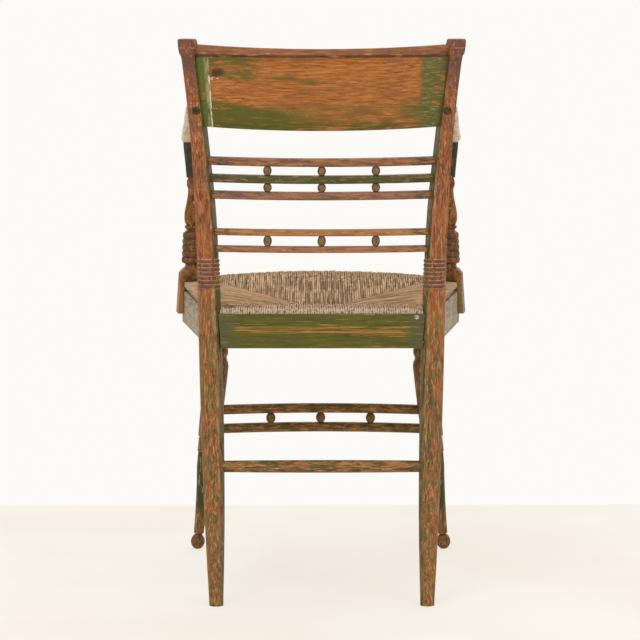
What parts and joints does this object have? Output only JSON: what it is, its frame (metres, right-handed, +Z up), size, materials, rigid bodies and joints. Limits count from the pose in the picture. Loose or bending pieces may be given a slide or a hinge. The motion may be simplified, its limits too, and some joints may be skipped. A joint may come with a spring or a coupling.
{
  "type": "stenciled painted side chair, with arms",
  "caption": "American painted fancy armchair with a rush seat: bent posts, crest tablet with a roll, ball-and-rail back, scrolled arms, turned splayed front legs.",
  "frame": {"origin": "on the floor, at the middle of the chair's bounding box in plan", "axes": "+Z up, +X to the sitter's left, the chair faces -Y"},
  "size_m": [0.4784, 0.509, 0.872],
  "materials": {
    "painted_post_wood": "old paint worn to bare wood, satin",
    "painted_rail_wood": "old paint worn to bare wood, satin",
    "turned_leg_wood": "old paint worn to bare wood, satin",
    "painted_casing": "old paint worn to bare wood, satin",
    "arm_wood": "old paint worn to bare wood, satin",
    "seat_frame_wood": "old paint worn to bare wood, satin",
    "rush": "woven, matt",
    "dark_plug": "old paint worn to bare wood, satin"
  },
  "bodies": {
    "root": {"arm_left": "arm_wood", "arm_right": "arm_wood", "arm_support_left": "arm_wood", "arm_support_right": "arm_wood", "back_ball_1": "painted_rail_wood", "back_ball_2": "painted_rail_wood", "back_ball_3": "painted_rail_wood", "back_ball_4": "painted_rail_wood", "back_ball_5": "painted_rail_wood", "back_ball_6": "painted_rail_wood", "back_ball_7": "painted_rail_wood", "back_ball_8": "painted_rail_wood", "back_ball_9": "painted_rail_wood", "back_post_left": "painted_post_wood", "back_post_right": "painted_post_wood", "back_rail_1": "painted_rail_wood", "back_rail_2": "painted_rail_wood", "back_rail_3": "painted_rail_wood", "back_rail_4": "painted_rail_wood", "back_rail_5": "painted_rail_wood", "casing_back": "painted_casing", "casing_front": "painted_casing", "casing_left": "painted_casing", "casing_right": "painted_casing", "crest_rail": "painted_rail_wood", "front_leg_left": "turned_leg_wood", "front_leg_right": "turned_leg_wood", "front_stretcher_lower": "painted_rail_wood", "front_stretcher_upper": "painted_rail_wood", "rear_stretcher": "painted_rail_wood", "rush_seat": "rush", "screw_plug_left": "dark_plug", "screw_plug_right": "dark_plug", "seat_rail_back": "seat_frame_wood", "seat_rail_front": "seat_frame_wood", "seat_rail_left": "seat_frame_wood", "seat_rail_right": "seat_frame_wood", "side_stretcher_left_lower": "painted_rail_wood", "side_stretcher_left_upper": "painted_rail_wood", "side_stretcher_right_lower": "painted_rail_wood", "side_stretcher_right_upper": "painted_rail_wood", "stretcher_ball_1": "painted_rail_wood", "stretcher_ball_2": "painted_rail_wood", "stretcher_ball_3": "painted_rail_wood"}
  },
  "joints": []
}
